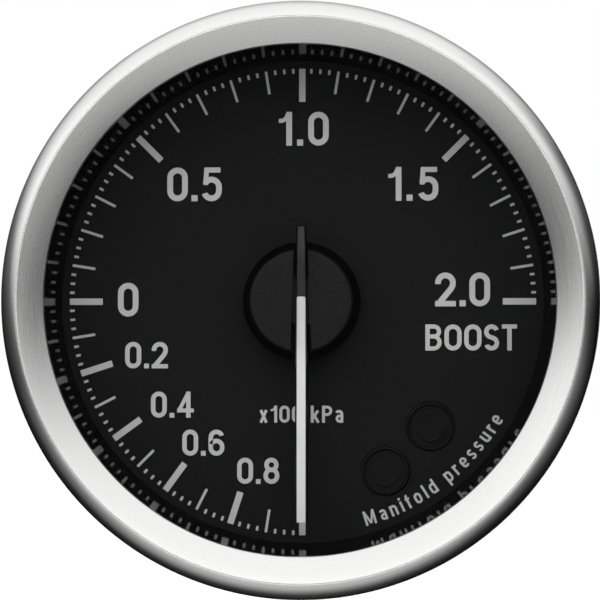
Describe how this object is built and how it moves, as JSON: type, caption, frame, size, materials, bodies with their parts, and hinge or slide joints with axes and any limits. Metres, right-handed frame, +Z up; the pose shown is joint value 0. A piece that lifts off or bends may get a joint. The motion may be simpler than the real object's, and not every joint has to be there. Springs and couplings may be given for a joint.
{
  "type": "boost gauge",
  "caption": "Round panel gauge for boost and vacuum: satin bezel, black dial, centre needle on a geared motor, warning lamps, rear sockets.",
  "frame": {"origin": "on the gauge's axis, where the full diameter of the barrel starts, 1 mm behind the rear face of the bezel", "axes": "+Y along the axis away from the viewer, through the panel; -Y is the face; +X right and +Z up as the dial is read"},
  "size_m": [0.064, 0.0383, 0.064],
  "materials": {
    "bezel_metal": "satin, brushed round the axis",
    "lens_clear": "clear, coated against reflections",
    "seal_rubber": "matt",
    "ring_black": "high gloss",
    "dial_black": "fine matt",
    "scale_print": "screen print",
    "lamp_smoke": "satin smoked cover",
    "guide_clear": "clear",
    "box_white": "moulded white",
    "led_yellow": "phosphor cover",
    "board_green": "solder mask",
    "chip_black": "moulded package",
    "screw_steel": "zinc plated",
    "motor_grey": "moulded",
    "brass_turned": "turned",
    "stator_iron": "stamped sheet",
    "bobbin_cream": "moulded",
    "coil_copper": "enamelled wire",
    "pin_plated": "tin plated",
    "magnet_dark": "sintered",
    "gear_white": "moulded",
    "needle_black": "satin",
    "needle_white": "satin white",
    "cap_black": "fine grain",
    "case_black": "fine texture",
    "capacitor_can": "drawn",
    "connector_black": "moulded",
    "contact_gold": "plated"
  },
  "bodies": {
    "housing": {"bezel": "bezel_metal", "lens": "lens_clear", "lens_gasket": "seal_rubber", "inner_ring": "ring_black", "dial": "dial_black", "scale_marks": "scale_print", "peak_lamp_lens": "lamp_smoke", "warning_lamp_lens": "lamp_smoke", "light_guide": "guide_clear", "light_box": "box_white", "scale_leds": "led_yellow", "lamp_leds": "led_yellow", "main_board": "board_green", "controller_chip": "chip_black", "board_screws": "screw_steel", "motor_case_front": "motor_grey", "motor_case_rear": "motor_grey", "motor_bearing": "brass_turned", "stator_plate": "stator_iron", "coil_bobbins": "bobbin_cream", "motor_coils": "coil_copper", "motor_pins": "pin_plated", "idler_pin": "screw_steel", "rotor_pin": "screw_steel", "case": "case_black", "case_seal": "seal_rubber", "rear_cover": "case_black", "cover_screws": "screw_steel", "rear_board": "board_green", "rear_board_screws": "screw_steel", "power_capacitors": "capacitor_can", "voltage_regulator": "chip_black", "link_header": "connector_black", "link_socket": "connector_black", "connector_left": "connector_black", "connector_right": "connector_black", "connector_pins": "contact_gold", "threaded_inserts": "brass_turned"},
    "needle": {"output_shaft": "screw_steel", "output_gear": "gear_white", "needle_bush": "brass_turned", "needle_body": "needle_black", "needle_strip": "needle_white", "hub_cap": "cap_black"},
    "idler": {"idler_gear": "gear_white"},
    "rotor": {"rotor_magnet": "magnet_dark", "rotor_pinion": "gear_white"}
  },
  "joints": [
    {"name": "needle_turn", "type": "hinge", "parent": "housing", "child": "needle", "pos_m": [0, 0, 0], "axis": [0, 1, 0], "range_deg": [0, 270]},
    {"name": "idler_turn", "type": "hinge", "parent": "housing", "child": "idler", "pos_m": [0, 0, -0.01], "axis": [0, 1, 0], "range_deg": [-2430, 0]},
    {"name": "rotor_turn", "type": "hinge", "parent": "housing", "child": "rotor", "pos_m": [0, 0, -0.018], "axis": [0, 1, 0], "range_deg": [0, 17010]}
  ],
  "couplings": [
    {"joint": "idler_turn", "follows": "needle_turn", "ratio": -9},
    {"joint": "rotor_turn", "follows": "needle_turn", "ratio": 63}
  ]
}
